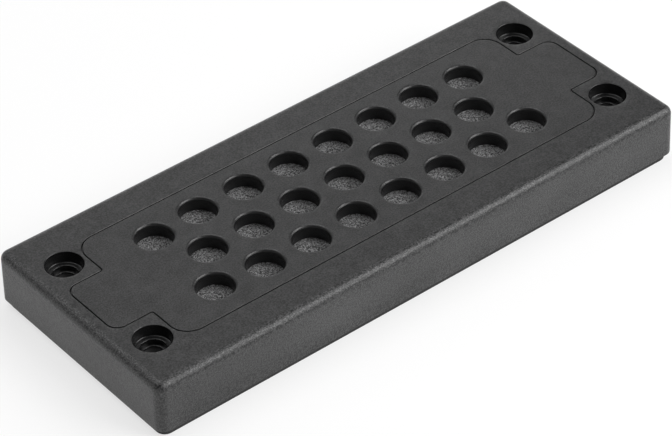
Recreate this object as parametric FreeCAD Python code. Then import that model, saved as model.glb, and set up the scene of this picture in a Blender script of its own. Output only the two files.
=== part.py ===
"""Cable entry plate for a 24-pole connector cut-out.

A rigid moulded frame with a skirt holds a soft insert with 23 closed
membranes. A cable is pushed through a membrane, which then grips it. Four
stepped holes take M4 screws, and a soft ring under the skirt seals on the
panel. Millimetres, +Z up, origin at the middle of the face that the ring
stands on. +X runs along the plate.
"""
import FreeCAD, Part
import math
import os

# Screws: the pattern of a 24-pole connector housing
screw_spacing_x = 130.0
screw_spacing_y = 32.0
head_bore_radius = 4.4
head_bore_floor_radius = 4.1
head_bore_depth = 2.8
step_bore_radius = 2.95
step_bore_depth = 4.1
screw_bore_radius = 2.3
boss_wall = 1.3

# Outer form of the frame, measured at its lower edge
screw_to_end = 8.8
screw_to_side = 13.7
frame_height = 12.8
corner_radius = 2.5
top_edge_radius = 2.0
draft_angle = 1.0

# Walls of the frame
skirt_wall = 3.4
top_wall = 3.2
tray_wall = 1.8
grid_thickness = 3.0
rib_thickness = 1.6
ribs_across = 5
rib_setback = 2.0
cavity_corner_radius = 1.5

# Soft insert: a block with a narrower tongue at each end, which runs between two screws
bore_to_block = 0.65
block_to_side = 9.45
block_corner_radius = 5.0
tongue_to_end = 3.95
bore_to_tongue = 2.45
tongue_corner_radius = 3.0
notch_radius = 0.5
insert_thickness = 4.6
seam_width = 0.3
seam_depth = 0.35

# Membrane pockets: rows of 8, 7 and 8
pocket_pitch = 12.75
row_spacing = 12.0
end_pocket_shift = 1.05
outer_row_count = 8
middle_row_count = 7
pocket_radius = 4.3
pocket_rim_bevel = 0.6
pocket_depth = 3.6
grid_window_clearance = 0.3
grid_window_bevel = 2.0

# Flange seal under the skirt
seal_drop = 2.0
seal_inset = 1.0
seal_to_cavity = 0.2
seal_outer_corner_radius = 2.2
seal_inner_corner_radius = 1.0
seal_edge_chamfer = 0.4
tongue_thickness = 1.0
tongue_height = 1.4

plate_length = screw_spacing_x + 2 * screw_to_end
plate_width = screw_spacing_y + 2 * screw_to_side
block_length = screw_spacing_x - 2 * (head_bore_radius + bore_to_block)
block_width = plate_width - 2 * block_to_side
tongue_span = plate_length - 2 * tongue_to_end
tongue_width = screw_spacing_y - 2 * (head_bore_radius + bore_to_tongue)
rib_spacing = 2 * pocket_pitch
seal_width = skirt_wall - seal_inset - seal_to_cavity
frame_bottom = seal_drop
top_face = frame_bottom + frame_height
seat_floor = top_face - insert_thickness
grid_bottom = seat_floor - grid_thickness
membrane_face = top_face - pocket_depth
cut_margin = 1.0
level_tolerance = 0.01


def outline(corners, z):
    """Closed wire through corners given as (x, y, radius), counter-clockwise."""
    count = len(corners)
    edges = []
    starts = []
    ends = []
    middles = []
    for index in range(count):
        x, y, radius = corners[index]
        here = FreeCAD.Vector(x, y, z)
        before = FreeCAD.Vector(corners[index - 1][0], corners[index - 1][1], z)
        after = FreeCAD.Vector(corners[(index + 1) % count][0], corners[(index + 1) % count][1], z)
        to_before = (before - here).normalize()
        to_after = (after - here).normalize()
        half_angle = to_before.getAngle(to_after) / 2
        starts.append(here + to_before * (radius / math.tan(half_angle)))
        ends.append(here + to_after * (radius / math.tan(half_angle)))
        to_middle = (to_before + to_after).normalize()
        middles.append(here + to_middle * (radius / math.sin(half_angle) - radius))
    for index in range(count):
        if corners[index][2] > 0:
            edges.append(Part.Arc(starts[index], middles[index], ends[index]).toShape())
        edges.append(Part.LineSegment(ends[index], starts[(index + 1) % count]).toShape())
    return Part.Wire(edges)


def prism(corners, low, high):
    """Solid of one outline between two heights."""
    return Part.Face(outline(corners, low)).extrude(FreeCAD.Vector(0, 0, high - low))


def plate_corners(inset, radius):
    """Rounded rectangle that lies inset from the lower edge of the plate."""
    x = plate_length / 2 - inset
    y = plate_width / 2 - inset
    return [(x, -y, radius), (x, y, radius), (-x, y, radius), (-x, -y, radius)]


def cross_corners(grow):
    """Outline of the insert, grown by an offset (or shrunk, if negative)."""
    block_x = block_length / 2 + grow
    block_y = block_width / 2 + grow
    tip_x = tongue_span / 2 + grow
    tip_y = tongue_width / 2 + grow
    block_r = block_corner_radius + grow
    tip_r = tongue_corner_radius + grow
    notch_r = max(0, notch_radius - grow)
    quarter = [(tip_x, tip_y, tip_r), (block_x, tip_y, notch_r), (block_x, block_y, block_r)]
    right_back = quarter
    left_back = [(-x, y, r) for x, y, r in reversed(quarter)]
    left_front = [(-x, -y, r) for x, y, r in quarter]
    right_front = [(x, -y, r) for x, y, r in reversed(quarter)]
    return right_back + left_back + left_front + right_front


def turned(points, places):
    """Revolve a profile of (radius, height) points about Z and copy it to each (x, y)."""
    corners = [FreeCAD.Vector(radius, 0, height) for radius, height in points]
    face = Part.Face(Part.makePolygon(corners + corners[:1]))
    solid = face.revolve(FreeCAD.Vector(0, 0, 0), FreeCAD.Vector(0, 0, 1), 360)
    copies = []
    for x, y in places:
        copies.append(solid.translated(FreeCAD.Vector(x, y, 0)))
    return copies


def screw_places():
    """Centres of the four screws."""
    x = screw_spacing_x / 2
    y = screw_spacing_y / 2
    return [(x, y), (-x, y), (-x, -y), (x, -y)]


def pocket_places():
    """Centres of the pockets. The end pockets of the outer rows sit a little further in."""
    places = []
    for side in (1, -1):
        for column in range(outer_row_count):
            x = (column - (outer_row_count - 1) / 2) * pocket_pitch
            at_end = column in (0, outer_row_count - 1)
            y = row_spacing - (end_pocket_shift if at_end else 0)
            places.append((x, side * y))
    for column in range(middle_row_count):
        places.append(((column - (middle_row_count - 1) / 2) * pocket_pitch, 0))
    return places


def outer_block():
    """Drafted block of the frame with its rounded top edge."""
    lean = frame_height * math.tan(math.radians(draft_angle))
    low = outline(plate_corners(0, corner_radius), frame_bottom)
    high = outline(plate_corners(lean, corner_radius - lean), top_face)
    block = Part.makeLoft([low, high], True, True)
    top_edges = [edge for edge in block.Edges if edge.BoundBox.ZMin > top_face - level_tolerance]
    return block.makeFillet(top_edge_radius, top_edges)


def ribs():
    """Bars whose ends show as ribs between the tray, the screw bosses and the skirt."""
    low = frame_bottom + rib_setback
    height = top_face - top_wall - low
    reach_x = (plate_length - skirt_wall) / 2
    reach_y = (plate_width - skirt_wall) / 2
    places = [-screw_spacing_x / 2, screw_spacing_x / 2]
    for number in range(ribs_across):
        places.append((number - (ribs_across - 1) / 2) * rib_spacing)
    bars = []
    for x in places:
        corner = FreeCAD.Vector(x - rib_thickness / 2, -reach_y, low)
        bars.append(Part.makeBox(rib_thickness, 2 * reach_y, height, corner))
    for y in (-screw_spacing_y / 2, screw_spacing_y / 2):
        corner = FreeCAD.Vector(-reach_x, y - rib_thickness / 2, low)
        bars.append(Part.makeBox(2 * reach_x, rib_thickness, height, corner))
    return bars


def cavity():
    """Space under the plate, around the insert's tray, the bosses and the ribs."""
    roof = top_face - top_wall
    space = prism(plate_corners(skirt_wall, cavity_corner_radius), frame_bottom - cut_margin, roof)
    tray = prism(cross_corners(tray_wall), grid_bottom, top_face)
    boss_radius = head_bore_radius + boss_wall
    bosses = []
    for x, y in screw_places():
        foot = FreeCAD.Vector(x, y, frame_bottom)
        bosses.append(Part.makeCylinder(boss_radius, frame_height, foot))
    below_grid = prism(cross_corners(0), frame_bottom, grid_bottom)
    kept_ribs = [rib.cut(below_grid) for rib in ribs()]
    return space.cut([tray] + bosses + kept_ribs)


def screw_bores():
    """Stepped holes: a drafted recess for the head, a short step and the screw's hole."""
    floor = top_face - head_bore_depth
    step = top_face - step_bore_depth
    points = [
        (0, frame_bottom - cut_margin),
        (screw_bore_radius, frame_bottom - cut_margin),
        (screw_bore_radius, step),
        (step_bore_radius, step),
        (step_bore_radius, floor),
        (head_bore_floor_radius, floor),
        (head_bore_radius, top_face),
        (head_bore_radius, top_face + cut_margin),
        (0, top_face + cut_margin),
    ]
    return turned(points, screw_places())


def grid_windows():
    """Windows through the rigid grid, square with bevelled corners, one behind each membrane."""
    half = pocket_radius + grid_window_clearance
    straight = half - grid_window_bevel
    octagon = [(half, -straight), (half, straight), (straight, half), (-straight, half)]
    octagon += [(-x, -y) for x, y in octagon]
    low = grid_bottom - cut_margin
    high = seat_floor + cut_margin
    window = prism([(x, y, 0) for x, y in octagon], low, high)
    return [window.translated(FreeCAD.Vector(x, y, 0)) for x, y in pocket_places()]


def seal_ring(inset, width, low, high):
    """Closed ring that follows the skirt."""
    outer = prism(plate_corners(inset, seal_outer_corner_radius), low, high)
    inner = prism(plate_corners(inset + width, seal_inner_corner_radius), low, high)
    return outer.cut(inner)


def seal_tongue():
    """The part of the seal that stands in the groove of the skirt."""
    inset = seal_inset + (seal_width - tongue_thickness) / 2
    return seal_ring(inset, tongue_thickness, frame_bottom, frame_bottom + tongue_height)


def frame():
    """Rigid frame, moulded in one piece."""
    body = outer_block().cut(cavity())
    seat = prism(cross_corners(0), seat_floor, top_face + cut_margin)
    return body.cut([seat, seal_tongue()] + grid_windows() + screw_bores()).removeSplitter()


def membrane_insert():
    """Soft insert, moulded in one piece, with its top edge set back along the seam."""
    body = prism(cross_corners(0), seat_floor, top_face - seam_depth)
    body = body.fuse(prism(cross_corners(-seam_width), top_face - seam_depth, top_face))
    rim_radius = pocket_radius + pocket_rim_bevel
    points = [
        (0, membrane_face),
        (pocket_radius, membrane_face),
        (pocket_radius, top_face - pocket_rim_bevel),
        (rim_radius, top_face),
        (rim_radius, top_face + cut_margin),
        (0, top_face + cut_margin),
    ]
    return body.cut(turned(points, pocket_places())).removeSplitter()


def flange_seal():
    """Soft ring under the skirt, with broken lower edges."""
    ring = seal_ring(seal_inset, seal_width, 0, seal_drop)
    low_edges = [edge for edge in ring.Edges if edge.BoundBox.ZMax < level_tolerance]
    ring = ring.makeChamfer(seal_edge_chamfer, low_edges)
    return ring.fuse(seal_tongue()).removeSplitter()


os.makedirs("parts", exist_ok=True)
frame().exportStep("parts/frame.step")
membrane_insert().exportStep("parts/membrane_insert.step")
flange_seal().exportStep("parts/flange_seal.step")
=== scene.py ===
"""Looks of a cable entry plate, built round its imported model.

The plate closes a cut-out in a cabinet's wall. A rigid frame holds a soft
insert with 23 closed membranes, which cables are pushed through, and a soft
seal runs under the frame's edge. Lengths are millimetres, and each mesh is
scaled to metres when it is made.
"""
from functools import partial
import math
import bpy
from mathutils import Matrix, Quaternion, Vector
from mathutils.geometry import delaunay_2d_cdt


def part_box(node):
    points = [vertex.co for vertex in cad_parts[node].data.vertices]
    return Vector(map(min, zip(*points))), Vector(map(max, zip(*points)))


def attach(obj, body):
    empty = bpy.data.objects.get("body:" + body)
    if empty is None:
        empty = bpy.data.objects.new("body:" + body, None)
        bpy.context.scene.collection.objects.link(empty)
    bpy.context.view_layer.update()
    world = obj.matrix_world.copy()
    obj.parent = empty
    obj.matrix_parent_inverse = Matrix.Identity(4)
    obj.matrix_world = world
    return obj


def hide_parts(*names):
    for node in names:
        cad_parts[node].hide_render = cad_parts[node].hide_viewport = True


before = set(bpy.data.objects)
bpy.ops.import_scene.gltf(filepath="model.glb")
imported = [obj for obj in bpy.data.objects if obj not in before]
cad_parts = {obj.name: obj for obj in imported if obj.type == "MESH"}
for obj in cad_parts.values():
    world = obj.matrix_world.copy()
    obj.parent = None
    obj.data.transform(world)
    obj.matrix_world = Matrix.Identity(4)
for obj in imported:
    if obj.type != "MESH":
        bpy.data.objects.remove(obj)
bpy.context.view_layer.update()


# The frame is one moulding of black glass-filled polyamide. Its outside leans in a little so that it
# leaves the mould, and its top edge is well rounded. Four stepped holes take the screws, and a grid of
# windows carries the soft insert. Bosses and ribs stiffen the hollow underside.
millimetre = 0.001
frame_low, frame_high = [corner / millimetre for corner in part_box("frame")]
frame_bottom = frame_low.z
top_face = frame_high.z
half_length = frame_high.x
half_width = frame_high.y
corner_radius = 2.5
draft_angle = 1.0
top_edge_radius = 2.0
bottom_edge_radius = 0.12
fine_edge_radius = 0.14

skirt_wall = 3.4
top_wall = 3.2
tray_wall = 1.8
grid_thickness = 3.0
insert_thickness = 4.6
rib_thickness = 1.6
rib_rise = 2.0
rib_spacing = 25.5
rib_count = 5
rib_bite = 0.4
cavity_corner_radius = 1.5
seat_floor = top_face - insert_thickness
grid_bottom = seat_floor - grid_thickness
cavity_roof = top_face - top_wall
rib_bottom = frame_bottom + rib_rise

screw_x = 65.0
screw_y = 16.0
head_radius = 4.4
head_floor_radius = 4.1
head_depth = 2.8
step_radius = 2.95
step_depth = 4.1
screw_hole_radius = 2.3
head_foot_radius = 0.2
head_floor = top_face - head_depth
step_floor = top_face - step_depth
boss_radius = 5.7

seat_half_length = 59.95
seat_half_width = 20.25
seat_corner_radius = 5.0
tongue_half_length = 69.85
tongue_half_width = 9.15
tongue_corner_radius = 3.0
notch_radius = 0.5

outer_row_count = 8
middle_row_count = 7
pocket_pitch = 12.75
row_spacing = 12.0
end_pocket_shift = 1.05
window_half_width = 4.6
window_bevel = 2.0

seal_tongue_inset = 1.6
seal_tongue_thickness = 1.0
seal_tongue_height = 1.4
seal_outer_corner_radius = 2.2
seal_inner_corner_radius = 1.0
groove_roof = frame_bottom + seal_tongue_height

round_steps = 72
corner_steps = 14
top_edge_steps = 12
head_foot_steps = 4
fine_edge_steps = 3
crease_angle = 35.0
level_digits = 4
slack = 1e-4
merge_distance = 1e-6


def rounded(corners):
    """Closed outline through corners given as (x, y, radius), counter-clockwise, with round corners."""
    loop = []
    for index, (x, y, radius) in enumerate(corners):
        here = Vector((x, y))
        to_before = (Vector(corners[index - 1][:2]) - here).normalized()
        to_after = (Vector(corners[(index + 1) % len(corners)][:2]) - here).normalized()
        if radius <= 0:
            loop.append(here)
            continue
        half_angle = to_before.angle(to_after) / 2
        centre = here + (to_before + to_after).normalized() * (radius / math.sin(half_angle))
        reach = radius / math.tan(half_angle)
        start = (here + to_before * reach - centre).normalized()
        end = (here + to_after * reach - centre).normalized()
        for step in range(corner_steps + 1):
            loop.append(centre + start.slerp(end, step / corner_steps) * radius)
    return loop


def circle(centre, radius):
    """Closed round outline."""
    loop = []
    for step in range(round_steps):
        angle = 2 * math.pi * step / round_steps
        loop.append(Vector(centre) + Vector((math.cos(angle), math.sin(angle))) * radius)
    return loop


def plate_outline(inset, radius):
    """Rounded rectangle that lies inset from the frame's lower edge."""
    x = half_length - inset
    y = half_width - inset
    return rounded([(x, -y, radius), (x, y, radius), (-x, y, radius), (-x, -y, radius)])


def cross_outline(grow):
    """Outline of the insert's seat, grown by an offset: a block with a narrower tongue at each end."""
    block_x = seat_half_length + grow
    block_y = seat_half_width + grow
    tip_x = tongue_half_length + grow
    tip_y = tongue_half_width + grow
    tip_radius = tongue_corner_radius + grow
    inner_radius = max(0, notch_radius - grow)
    quarter = [(tip_x, tip_y, tip_radius), (block_x, tip_y, inner_radius),
               (block_x, block_y, seat_corner_radius + grow)]
    corners = quarter + [(-x, y, radius) for x, y, radius in reversed(quarter)]
    corners += [(-x, -y, radius) for x, y, radius in quarter]
    corners += [(x, -y, radius) for x, y, radius in reversed(quarter)]
    return rounded(corners)


def rectangle(low_x, high_x, low_y, high_y):
    """Closed outline of a rectangle."""
    corners = ((low_x, low_y), (high_x, low_y), (high_x, high_y), (low_x, high_y))
    return [Vector(corner) for corner in corners]


def fixed(loop):
    """An outline that keeps its place at every height."""
    return lambda height: loop


def tongue_outlines():
    """Outer and inner outline of the seal's tongue, and so of the frame's groove for it."""
    outer = plate_outline(seal_tongue_inset, seal_outer_corner_radius)
    inner = plate_outline(seal_tongue_inset + seal_tongue_thickness, seal_inner_corner_radius)
    return fixed(outer), fixed(inner)


def set_back(height, edge, radius):
    """How far an edge's rounding sets a wall back at a height. A negative radius rounds a lower edge."""
    into = 1 - (edge - height) / radius
    if into <= 0 or into > 1 + slack:
        return 0.0
    return abs(radius) * (1 - math.sqrt(max(0.0, 1 - into * into)))


def edge_levels(edge, radius, steps):
    """Heights that divide an edge's rounding into even turns."""
    return [edge - radius * (1 - math.sin(math.pi / 2 * step / steps)) for step in range(steps + 1)]


def where_on(place, loop):
    """Segment of a closed loop that a point lies on, and how far along it."""
    for index, start in enumerate(loop):
        run = loop[(index + 1) % len(loop)] - start
        part = (place - start).dot(run) / run.length_squared
        if 0 <= part <= 1 and (start + run * part - place).length < slack:
            return index, part
    return None


def layered(name, outlines, levels, solid, lean=None):
    """Closed mesh of a body that is described layer by layer.

    Each outline is a function that gives a closed loop at a height, always with as many points.
    solid(inside, height) says whether there is material at that height, in the area that lies inside
    the outlines named in inside. lean(point, height) may move any point of a layer sideways.
    """
    levels = sorted(set(round(level, level_digits) for level in levels))
    names = list(outlines)
    loops = {key: [outlines[key](height) for height in levels] for key in names}
    moving = [key for key in names if any(loop != loops[key][0] for loop in loops[key])]
    owners = [(key, index) for key in names for index in range(len(loops[key][0]))]
    faces = []
    for key in names:
        first = owners.index((key, 0))
        faces.append(list(range(first, first + len(loops[key][0]))))
    points = [loops[key][0][index] for key, index in owners]
    places, _, triangles, sources, _, holders = delaunay_2d_cdt(points, [], faces, 1, merge_distance)

    riding = {}
    for index, place in enumerate(places):
        for source in sources[index]:
            key, corner = owners[source]
            if key in moving:
                riding[index] = (key, corner, 0.0)
        if not sources[index]:
            for key in moving:
                found = where_on(place, loops[key][0])
                if found:
                    riding[index] = (key, *found)
                    break

    neighbours = {}
    for number, triangle in enumerate(triangles):
        for start, end in zip(triangle, triangle[1:] + triangle[:1]):
            neighbours[start, end] = number
    inside = [frozenset(names[face] for face in held) for held in holders]
    known = {}

    def is_solid(number, layer):
        if number is None or not 0 <= layer < len(levels) - 1:
            return False
        if (inside[number], layer) not in known:
            middle = (levels[layer] + levels[layer + 1]) / 2
            known[inside[number], layer] = bool(inside[number]) and solid(inside[number], middle)
        return known[inside[number], layer]

    vertices = []
    numbers = {}

    def vertex(index, level):
        if (index, level) not in numbers:
            place = places[index]
            if index in riding:
                key, corner, part = riding[index]
                loop = loops[key][level]
                place = loop[corner].lerp(loop[(corner + 1) % len(loop)], part)
            if lean:
                place = lean(place, levels[level])
            numbers[index, level] = len(vertices)
            vertices.append(Vector((*place, levels[level])) * millimetre)
        return numbers[index, level]

    polygons = []
    for number, triangle in enumerate(triangles):
        for level in range(len(levels)):
            under = is_solid(number, level - 1)
            over = is_solid(number, level)
            if under and not over:
                polygons.append([vertex(index, level) for index in triangle])
            if over and not under:
                polygons.append([vertex(index, level) for index in reversed(triangle)])
        for start, end in zip(triangle, triangle[1:] + triangle[:1]):
            other = neighbours.get((end, start))
            for layer in range(len(levels) - 1):
                if is_solid(number, layer) and not is_solid(other, layer):
                    corners = [(start, layer), (end, layer), (end, layer + 1), (start, layer + 1)]
                    polygons.append([vertex(*corner) for corner in corners])

    mesh = bpy.data.meshes.new(name)
    mesh.from_pydata(vertices, [], polygons)
    mesh.validate()
    mesh.shade_smooth()
    mesh.set_sharp_from_angle(angle=math.radians(crease_angle))
    piece = bpy.data.objects.new(name, mesh)
    bpy.context.scene.collection.objects.link(piece)
    normals = piece.modifiers.new("Weighted normals", "WEIGHTED_NORMAL")
    normals.keep_sharp = True
    return piece


def screw_places():
    """Centres of the four screws."""
    return [(x, y) for x in (-screw_x, screw_x) for y in (-screw_y, screw_y)]


def pocket_places():
    """Centres of the membranes in rows of 8, 7 and 8. The end ones of the outer rows sit further in."""
    places = []
    for side in (-1, 1):
        for column in range(outer_row_count):
            x = (column - (outer_row_count - 1) / 2) * pocket_pitch
            shift = end_pocket_shift if column in (0, outer_row_count - 1) else 0
            places.append((x, side * (row_spacing - shift)))
    for column in range(middle_row_count):
        places.append(((column - (middle_row_count - 1) / 2) * pocket_pitch, 0))
    return places


def frame_lean(place, height):
    """The outer wall's draft and rounded edges, which fade out at the centres of the corners' arcs."""
    back = (height - frame_bottom) * math.tan(math.radians(draft_angle))
    back += set_back(height, top_face, top_edge_radius)
    back += set_back(height, frame_bottom, -bottom_edge_radius)
    core = Vector((half_length - corner_radius, half_width - corner_radius))
    out = Vector((abs(place.x) - core.x, abs(place.y) - core.y))
    if out.x > 0 and out.y > 0:
        inset = corner_radius - out.length
        way = out.normalized()
    elif out.x > out.y:
        inset = corner_radius - out.x
        way = Vector((1, 0))
    else:
        inset = corner_radius - out.y
        way = Vector((0, 1))
    back *= max(0.0, 1 - inset / corner_radius)
    return place - Vector((math.copysign(way.x, place.x), math.copysign(way.y, place.y))) * back


def frame_outlines():
    """Every outline in the frame, with its place at each height."""
    draft = (head_radius - head_floor_radius) / head_depth

    def head(centre, height):
        radius = head_floor_radius + draft * max(0.0, height - head_floor)
        radius -= set_back(height, head_floor, -head_foot_radius)
        return circle(centre, radius + set_back(height, top_face, fine_edge_radius))

    def step(centre, height):
        return circle(centre, step_radius + set_back(height, head_floor, fine_edge_radius))

    def hole(centre, height):
        return circle(centre, screw_hole_radius + set_back(height, step_floor, fine_edge_radius))

    groove, groove_core = tongue_outlines()
    outlines = {
        "plate": fixed(plate_outline(0, corner_radius)),
        "groove": groove,
        "groove_core": groove_core,
        "cavity": fixed(plate_outline(skirt_wall, cavity_corner_radius)),
        "tray": fixed(cross_outline(tray_wall)),
        "seat": lambda height: cross_outline(set_back(height, top_face, fine_edge_radius)),
    }
    for number, centre in enumerate(screw_places()):
        outlines[f"boss {number}"] = fixed(circle(centre, boss_radius))
        outlines[f"head {number}"] = partial(head, centre)
        outlines[f"step {number}"] = partial(step, centre)
        outlines[f"hole {number}"] = partial(hole, centre)
    straight = window_half_width - window_bevel
    window = [(window_half_width, -straight), (window_half_width, straight), (straight, window_half_width),
              (-straight, window_half_width)]
    window += [(-a, -b) for a, b in window]
    for number, (x, y) in enumerate(pocket_places()):
        outlines[f"window {number}"] = fixed([Vector((x + a, y + b)) for a, b in window])
    reach_x = half_length - skirt_wall + rib_bite
    reach_y = half_width - skirt_wall + rib_bite
    half_rib = rib_thickness / 2
    for number in range(rib_count):
        x = (number - (rib_count - 1) / 2) * rib_spacing
        outlines[f"rib {number}"] = fixed(rectangle(x - half_rib, x + half_rib, -reach_y, reach_y))
    for x in (-screw_x, screw_x):
        outlines[f"rib across {x}"] = fixed(rectangle(x - half_rib, x + half_rib, -reach_y, reach_y))
    for y in (-screw_y, screw_y):
        outlines[f"rib along {y}"] = fixed(rectangle(-reach_x, reach_x, y - half_rib, y + half_rib))
    return outlines


def frame_solid(inside, height):
    """Whether the frame has material at a height, inside the outlines that are named."""
    kinds = {name.split()[0] for name in inside}
    if "hole" in kinds:
        return False
    if "step" in kinds and height > step_floor:
        return False
    if "head" in kinds and height > head_floor:
        return False
    if "seat" in kinds and height > seat_floor:
        return False
    if "groove" in kinds and "groove_core" not in kinds and height < groove_roof:
        return False
    in_tray = "tray" in kinds and height > grid_bottom
    if "cavity" not in kinds or height > cavity_roof or "boss" in kinds or in_tray:
        return "window" not in kinds
    return "rib" in kinds and "seat" not in kinds and height > rib_bottom


def frame_levels():
    """Heights at which the frame's form changes."""
    levels = [frame_bottom, groove_roof, rib_bottom, grid_bottom, seat_floor, cavity_roof, top_face]
    levels += edge_levels(top_face, top_edge_radius, top_edge_steps)
    levels += edge_levels(frame_bottom, -bottom_edge_radius, fine_edge_steps)
    for edge in (top_face, head_floor, step_floor):
        levels += edge_levels(edge, fine_edge_radius, fine_edge_steps)
    levels += edge_levels(head_floor, -head_foot_radius, head_foot_steps)
    return levels


class Value:
    """One output of a shader node. Arithmetic on values adds Math nodes to their material."""

    def __init__(self, paint, socket):
        self.paint = paint
        self.socket = socket

    def maths(self, operation, *terms):
        """Value that a Math node works out from its terms."""
        return self.paint.node("ShaderNodeMath", {"operation": operation}, dict(enumerate(terms)))

    def __add__(self, other):
        return self.maths("ADD", self, other)

    def __radd__(self, other):
        return self.maths("ADD", other, self)

    def __sub__(self, other):
        return self.maths("SUBTRACT", self, other)

    def __rsub__(self, other):
        return self.maths("SUBTRACT", other, self)

    def __mul__(self, other):
        return self.maths("MULTIPLY", self, other)

    def __rmul__(self, other):
        return self.maths("MULTIPLY", other, self)

    def __abs__(self):
        return self.maths("ABSOLUTE", self)

    def smaller(self, other):
        return self.maths("MINIMUM", self, other)

    def larger(self, other):
        return self.maths("MAXIMUM", self, other)

    def rise(self, start, end):
        """Smooth step from 0 at the start to 1 at the end."""
        sockets = {"Value": self, "From Min": start, "From Max": end}
        return self.paint.node("ShaderNodeMapRange", {"interpolation_type": "SMOOTHSTEP"}, sockets)


class Paint:
    """A material that is built node by node, on places given in metres from the part's origin."""

    def __init__(self, name):
        self.material = bpy.data.materials.new(name)
        self.material.use_nodes = True
        self.tree = self.material.node_tree
        self.tree.nodes.clear()
        self.place = self.node("ShaderNodeTexCoord", output="Object")

    def node(self, kind, settings=(), sockets=(), output=0):
        """Add a node, with its settings first and then a value or a link for each socket."""
        node = self.tree.nodes.new(kind)
        for name, setting in dict(settings).items():
            setattr(node, name, setting)
        for name, value in dict(sockets).items():
            if isinstance(value, Value):
                self.tree.links.new(value.socket, node.inputs[name])
            else:
                node.inputs[name].default_value = value
        return Value(self, node.outputs[output]) if node.outputs else None

    def along(self, axis):
        """Place along an axis, in millimetres."""
        return self.node("ShaderNodeSeparateXYZ", sockets={0: self.place}, output=axis) * (1 / millimetre)

    def noise(self, size, detail=2.0, roughness=0.5, stretch=(1, 1, 1)):
        """Noise from 0 to 1, with features of about a size in millimetres, drawn out by the stretch."""
        scale = [1 / (size * millimetre * factor) for factor in stretch]
        place = self.node("ShaderNodeVectorMath", {"operation": "MULTIPLY"}, {0: self.place, 1: scale})
        sockets = {"Vector": place, "Scale": 1.0, "Detail": detail, "Roughness": roughness}
        return self.node("ShaderNodeTexNoise", sockets=sockets)

    def blend(self, share, none, full):
        """Colour between two colours. Sockets 6 and 7 and output 2 are a Mix node's colours."""
        return self.node("ShaderNodeMix", {"data_type": "RGBA"}, {0: share, 6: none, 7: full}, 2)

    def bump(self, height, rise):
        """Normal of a surface that rises by a number of millimetres where the height is 1."""
        return self.node("ShaderNodeBump", sockets={"Height": height, "Distance": rise * millimetre})

    def finish(self, piece, **sockets):
        """Give a piece the material, with the named sockets of its shader."""
        names = {name.replace("_", " ").title(): value for name, value in sockets.items()}
        self.cover(piece, self.node("ShaderNodeBsdfPrincipled", sockets=names))

    def cover(self, piece, shader):
        """End the material in a shader and put it on a piece."""
        self.node("ShaderNodeOutputMaterial", sockets={"Surface": shader})
        piece.data.materials.append(self.material)


soot = (0.006, 0.006, 0.0062, 1)
worn_grey = (0.206, 0.206, 0.208, 1)
satin_shade = 0.09
satin_unevenness = 0.2
edge_highlight_shade = 0.115
edge_speckle = 0.45
side_shade = 0.213
painted_foot_shade = 0.15
side_speckle = 0.3
side_flow = 0.35
painted_inner_wall_shade = 0.012
painted_deep_hole_light = 0.65
satin_roughness = 0.33
side_roughness = 0.36
inner_wall_roughness = 0.24
sheen_unevenness = 0.12

grain_size = 0.34
grain_contrast = (0.32, 0.68)
grain_height = 0.03
grain_left_on_top = 0.25
fleck_size = 0.8
cloud_size = 3.2
flow_size = 9.0
flow_stretch = (2.2, 2.2, 1)

# Where each finish, painted shade and painted light starts and where it is full, in millimetres in from
# the frame's sides or down from the top face, and for the screw holes as the square of the distance from
# the screw's middle
edge_band = (2.4, 1.8)
side_band = (0.36, 0.08)
painted_foot_shade_band = (4.0, top_face - frame_bottom)
inner_wall_band = (2.4, 2.8)
inner_wall_depths = (0.02, 0.3)
painted_hole_light_depths = (step_depth, step_depth + 1.2)
hole_band_squared = (5.6, 5.4)

body = layered("plate_frame", frame_outlines(), frame_levels(), frame_solid, frame_lean)
polyamide = Paint("black polyamide")
from_end = half_length - abs(polyamide.along("X"))
from_side = half_width - abs(polyamide.along("Y"))
from_edge = from_end.smaller(from_side)
past_screw_x = abs(polyamide.along("X")) - screw_x
past_screw_y = abs(polyamide.along("Y")) - screw_y
from_screw_squared = past_screw_x * past_screw_x + past_screw_y * past_screw_y
depth = top_face - polyamide.along("Z")

near_edge = from_edge.rise(*edge_band)
on_side = from_edge.rise(*side_band)
painted_shade_near_foot = depth.rise(*painted_foot_shade_band)
# Below the top face, the walls of the holes and of the seam and the hollow underside are painted darker: a
# painted shade in the recesses. Their smoother sheen is roughness.
on_inner_wall = from_edge.rise(*inner_wall_band) * depth.rise(*inner_wall_depths)
# The lowest walls of the screw holes are painted paler: a painted light.
painted_light_deep_in_hole = from_screw_squared.rise(*hole_band_squared) * depth.rise(*painted_hole_light_depths)

grain = polyamide.noise(grain_size, detail=3, roughness=0.65).rise(*grain_contrast) - 0.5
flecks = polyamide.noise(fleck_size, detail=4, roughness=0.7) - 0.5
clouds = polyamide.noise(cloud_size, detail=5, roughness=0.6) - 0.5
flow = polyamide.noise(flow_size, detail=3, stretch=flow_stretch) - 0.5

satin = satin_shade + (clouds + grain) * satin_unevenness
# The band round the rounded top edge is a little paler, a painted highlight, and has a speckled grain.
edge = edge_highlight_shade + (flecks + grain) * edge_speckle
# The sides are painted darker towards their foot: a painted shade.
side = side_shade + painted_shade_near_foot * (painted_foot_shade - side_shade)
side = side + (flecks + grain) * side_speckle + flow * side_flow
shade = satin + on_inner_wall * (painted_inner_wall_shade - satin) + near_edge * (edge - satin)
shade = shade + on_side * (side - shade) + painted_light_deep_in_hole * (painted_deep_hole_light - shade)
polyamide.finish(
    body,
    base_color=polyamide.blend(shade, soot, worn_grey),
    roughness=satin_roughness + on_inner_wall * (inner_wall_roughness - satin_roughness)
    + on_side * (side_roughness - satin_roughness) + clouds * sheen_unevenness,
    normal=polyamide.bump(
        (grain + flecks) * (grain_left_on_top + near_edge * (1 - grain_left_on_top)), grain_height),
)
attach(body, "root")
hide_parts("frame")


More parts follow.
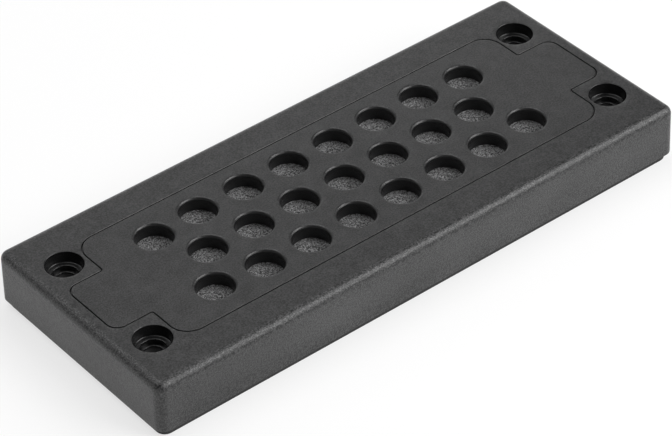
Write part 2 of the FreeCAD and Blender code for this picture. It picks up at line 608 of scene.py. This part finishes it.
# The insert is one moulding of black thermoplastic elastomer, flush with the frame and carried by its
# grid. Each of its 23 round pockets ends in a thin closed membrane with a faint disc in its middle. A
# narrow groove runs along the seam with the frame.
pocket_radius = 4.3
pocket_rim_radius = 0.75
pocket_depth = 3.6
pocket_floor_radius = 0.15
disc_radius = 1.65
disc_depth = 0.15
disc_edge_radius = 0.1
seam_width = 0.3
seam_depth = 0.5
seam_edge_radius = 0.12
pocket_rim_steps = 6
membrane_face = top_face - pocket_depth
disc_face = membrane_face - disc_depth
seam_floor = top_face - seam_depth


def insert_outlines():
    """Every outline in the insert, with its place at each height."""
    def crown(height):
        return cross_outline(-seam_width - set_back(height, top_face, seam_edge_radius))

    def pocket(centre, height):
        radius = pocket_radius + set_back(height, top_face, pocket_rim_radius)
        radius -= set_back(height, membrane_face, -pocket_floor_radius)
        return circle(centre, radius)

    def disc(centre, height):
        return circle(centre, disc_radius + set_back(height, membrane_face, disc_edge_radius))

    outlines = {"block": fixed(cross_outline(0)), "crown": crown}
    for number, centre in enumerate(pocket_places()):
        outlines[f"pocket {number}"] = partial(pocket, centre)
        outlines[f"disc {number}"] = partial(disc, centre)
    return outlines


def insert_solid(inside, height):
    """Whether the insert has material at a height, inside the outlines that are named."""
    kinds = {name.split()[0] for name in inside}
    if "disc" in kinds:
        return height < disc_face
    if "pocket" in kinds:
        return height < membrane_face
    return "crown" in kinds or height < seam_floor


def insert_levels():
    """Heights at which the insert's form changes."""
    levels = [seat_floor, disc_face, membrane_face, seam_floor, top_face]
    levels += edge_levels(top_face, pocket_rim_radius, pocket_rim_steps)
    levels += edge_levels(top_face, seam_edge_radius, fine_edge_steps)
    levels += edge_levels(membrane_face, -pocket_floor_radius, fine_edge_steps)
    levels += edge_levels(membrane_face, disc_edge_radius, fine_edge_steps)
    return levels


bloom_grey = (0.36, 0.36, 0.363, 1)
membrane_shade = 0.35
membrane_roughness = 0.62
membrane_grain_size = 0.36
membrane_grain = 1.1
membrane_flecks = 0.7
soft_grain_height = 0.08
top_grain_share = 0.1
wall_grain_share = 0.15
membrane_grain_share = 0.6

# Where each finish and the painted shade start and where they are full, in millimetres down from the top
# face
painted_wall_shade_depths = (0.0, 0.3)
wall_grain_depths = (0.01, 0.1)
wall_sheen_depths = (pocket_rim_radius, pocket_rim_radius + 0.3)
membrane_depths = (pocket_depth - 0.3, pocket_depth - 0.1)

insert = layered("soft_insert", insert_outlines(), insert_levels(), insert_solid)
elastomer = Paint("black elastomer")
depth = top_face - elastomer.along("Z")
painted_wall_shade = depth.rise(*painted_wall_shade_depths)
wall_grained = depth.rise(*wall_grain_depths)
wall_sheen = depth.rise(*wall_sheen_depths)
on_membrane = depth.rise(*membrane_depths)

grain = elastomer.noise(membrane_grain_size, detail=3, roughness=0.7).rise(*grain_contrast) - 0.5
flecks = elastomer.noise(fleck_size, detail=3, roughness=0.6) - 0.5
clouds = elastomer.noise(cloud_size, detail=5, roughness=0.6) - 0.5

satin = satin_shade + (clouds + grain) * satin_unevenness
# The rims and walls of the pockets are painted darker: a painted shade in the pockets.
satin = satin + painted_wall_shade * (painted_inner_wall_shade - satin)
bloom = membrane_shade + flecks * membrane_flecks + grain * membrane_grain
satin_colour = elastomer.blend(satin, soot, worn_grey)
bloom_colour = elastomer.blend(bloom, soot, bloom_grey)
elastomer.finish(
    insert,
    base_color=elastomer.blend(on_membrane, satin_colour, bloom_colour),
    roughness=satin_roughness + wall_sheen * (inner_wall_roughness - satin_roughness)
    + on_membrane * (membrane_roughness - inner_wall_roughness) + clouds * sheen_unevenness,
    normal=elastomer.bump(
        (grain + flecks)
        * (top_grain_share + wall_grained * wall_grain_share + on_membrane * membrane_grain_share),
        soft_grain_height),
)
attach(insert, "root")
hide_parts("membrane_insert")


# The seal is a ring of soft black elastomer under the frame's edge, which the screws press on the
# cabinet's wall. A tongue along its top stands in the frame's groove and holds it there.
seal_inset = 1.0
seal_width = 2.2
seal_edge_radius = 0.4
seal_edge_steps = 5
seal_shade = 0.09
seal_unevenness = 0.04
seal_roughness = 0.7
seal_sheen_unevenness = 0.15
seal_grain_contrast = (0.3, 0.7)
seal_grain_height = 0.02


def seal_outlines():
    """Outlines of the ring and of the tongue that stands in the frame's groove."""
    def outer(height):
        return plate_outline(seal_inset + set_back(height, 0, -seal_edge_radius), seal_outer_corner_radius)

    def inner(height):
        inset = seal_inset + seal_width - set_back(height, 0, -seal_edge_radius)
        return plate_outline(inset, seal_inner_corner_radius)

    tongue, tongue_core = tongue_outlines()
    return {"ring": outer, "ring_core": inner, "tongue": tongue, "tongue_core": tongue_core}


def seal_solid(inside, height):
    """Whether the seal has material at a height, inside the outlines that are named."""
    if height > frame_bottom:
        return "tongue" in inside and "tongue_core" not in inside
    return "ring" in inside and "ring_core" not in inside


seal_levels = edge_levels(0, -seal_edge_radius, seal_edge_steps) + [frame_bottom, groove_roof]
seal = layered("edge_seal", seal_outlines(), seal_levels, seal_solid)
soft = Paint("black seal elastomer")
grain = soft.noise(grain_size, detail=3, roughness=0.6).rise(*seal_grain_contrast) - 0.5
clouds = soft.noise(cloud_size, detail=4) - 0.5
soft.finish(
    seal,
    base_color=soft.blend(seal_shade + (clouds + grain) * seal_unevenness, soot, worn_grey),
    roughness=seal_roughness + clouds * seal_sheen_unevenness,
    normal=soft.bump(grain, seal_grain_height),
)
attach(seal, "root")
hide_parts("flange_seal")


# The floor is paper that curves up all round, far away, so that its edge never shows. It is a light grey
# for the light that it throws on the part. Where the camera or a reflection sees it, it adds its own
# white, and the part's shadow stays on it.
floor_radius = 3.0
floor_curve_radius = 0.6
floor_rim_height = 1.0
floor_steps = 128
floor_curve_steps = 12

floor_profile = [(floor_radius - floor_curve_radius, 0.0)]
for step in range(1, floor_curve_steps + 1):
    angle = math.pi / 2 * step / floor_curve_steps
    reach = floor_radius - floor_curve_radius * (1 - math.sin(angle))
    floor_profile.append((reach, floor_curve_radius * (1 - math.cos(angle))))
floor_profile.append((floor_radius, floor_rim_height))

floor_points = [Vector((0, 0, 0))]
for reach, height in floor_profile:
    for step in range(floor_steps):
        angle = 2 * math.pi * step / floor_steps
        floor_points.append(Vector((reach * math.cos(angle), reach * math.sin(angle), height)))
floor_faces = []
for step in range(floor_steps):
    after = (step + 1) % floor_steps
    floor_faces.append((0, 1 + step, 1 + after))
    for ring in range(len(floor_profile) - 1):
        low = 1 + ring * floor_steps
        high = low + floor_steps
        floor_faces.append((low + step, high + step, high + after, low + after))
floor_mesh = bpy.data.meshes.new("floor")
floor_mesh.from_pydata(floor_points, [], floor_faces)
floor_mesh.shade_smooth()
floor = bpy.data.objects.new("floor", floor_mesh)
bpy.context.scene.collection.objects.link(floor)

paper_grey = (0.7, 0.7, 0.7, 1)
shadow_grey = (0.315, 0.315, 0.315, 1)
own_white = 0.68
paper = Paint("white paper")
seen = paper.node("ShaderNodeLightPath", output="Is Camera Ray")
for ray in ("Is Glossy Ray", "Is Transmission Ray"):
    seen = seen.larger(paper.node("ShaderNodeLightPath", output=ray))
plain = paper.node("ShaderNodeBsdfDiffuse", sockets={"Color": paper_grey})
shadowed = paper.node("ShaderNodeBsdfDiffuse", sockets={"Color": shadow_grey})
glow = paper.node("ShaderNodeEmission", sockets={"Color": (1, 1, 1, 1), "Strength": own_white})
lifted = paper.node("ShaderNodeAddShader", sockets={0: shadowed, 1: glow})
paper.cover(floor, paper.node("ShaderNodeMixShader", sockets={0: seen, 1: plain, 2: lifted}))


# Five soft boxes stand round the part: a large one at the camera's right, one overhead, and weaker ones.
# Hardly any light comes from the camera's own side, so the walls of the holes stay dark. Each has its
# azimuth and elevation in degrees, its width and height in metres and its power in watts.
soft_box_distance = 1.3
room_strength = 0.01
soft_boxes = {
    "right soft box": (-48, 38, 1.1, 0.78, 17.8),
    "overhead soft box": (100, 74, 1.2, 0.8, 7.2),
    "left soft box": (122, 43, 0.5, 0.5, 1.8),
    "back soft box": (59, 27, 0.8, 0.5, 1.45),
    "fill behind the camera": (-128, 45, 0.7, 0.7, 0.3),
}
for name, (azimuth, elevation, width, height, watts) in soft_boxes.items():
    lamp = bpy.data.lights.new(name, "AREA")
    lamp.shape = "RECTANGLE"
    lamp.size = width
    lamp.size_y = height
    lamp.energy = watts
    soft_box = bpy.data.objects.new(name, lamp)
    turn = Quaternion((0, 0, 1), math.radians(azimuth + 90))
    turn = turn @ Quaternion((1, 0, 0), math.radians(90 - elevation))
    middle = Vector((0, 0, top_face * millimetre))
    place = middle + turn @ Vector((0, 0, soft_box_distance))
    soft_box.matrix_world = Matrix.LocRotScale(place, turn, None)
    bpy.context.scene.collection.objects.link(soft_box)
room = bpy.data.worlds.new("dim room")
room.use_nodes = True
background = room.node_tree.nodes["Background"]
background.inputs["Color"].default_value = (1, 1, 1, 1)
background.inputs["Strength"].default_value = room_strength
bpy.context.scene.world = room


# The camera stands where the photograph's did, with a long lens. Its place and its turn were fitted to the
# round rims of the four screw recesses.
camera_place = Vector((-329.08, -417.11, 431.85)) * millimetre
camera_azimuth = 51.962
camera_elevation = -38.906
camera_roll = -1.823
camera_lens = 162.49
camera_sensor_width = 36
camera_data = bpy.data.cameras.new("camera")
camera_data.sensor_width = camera_sensor_width
camera_data.lens = camera_lens
camera = bpy.data.objects.new("camera", camera_data)
turn = Quaternion((0, 0, 1), math.radians(camera_azimuth - 90))
turn = turn @ Quaternion((1, 0, 0), math.radians(90 + camera_elevation))
turn = turn @ Quaternion((0, 0, 1), math.radians(camera_roll))
camera.matrix_world = Matrix.LocRotScale(camera_place, turn, None)
bpy.context.scene.collection.objects.link(camera)
bpy.context.scene.camera = camera
bpy.context.scene.view_settings.view_transform = "Standard"
